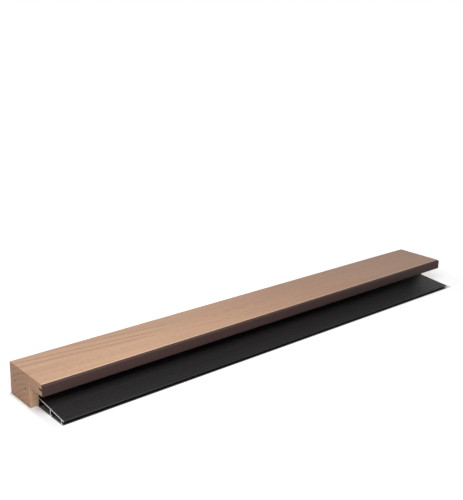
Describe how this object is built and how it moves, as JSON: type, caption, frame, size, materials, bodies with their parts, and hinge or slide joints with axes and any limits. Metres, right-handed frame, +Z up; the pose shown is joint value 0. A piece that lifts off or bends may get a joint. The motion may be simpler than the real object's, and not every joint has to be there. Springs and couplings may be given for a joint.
{
  "type": "door threshold",
  "caption": "Rebated oak door sill with a brown edge strip along its front and a black ribbed aluminium tread that slopes out from under its nosing.",
  "frame": {"origin": "on the floor, in the middle of the part's length and depth", "axes": "+X along the threshold, +Y from the tread's nose towards the sill's rear face, +Z up"},
  "size_m": [0.95, 0.1352, 0.053],
  "materials": {
    "oak": "planed and oiled, satin",
    "brown_rubber": "smooth matt skin",
    "black_coated_aluminium": "black satin coat, bare metal on the cut ends",
    "zinc_steel": "zinc plated"
  },
  "bodies": {
    "root": {"oak_sill": "oak", "edge_strip": "brown_rubber", "tread": "black_coated_aluminium", "tread_screw_1": "zinc_steel", "tread_screw_2": "zinc_steel", "tread_screw_3": "zinc_steel", "tread_screw_4": "zinc_steel", "tread_screw_5": "zinc_steel"}
  },
  "joints": []
}
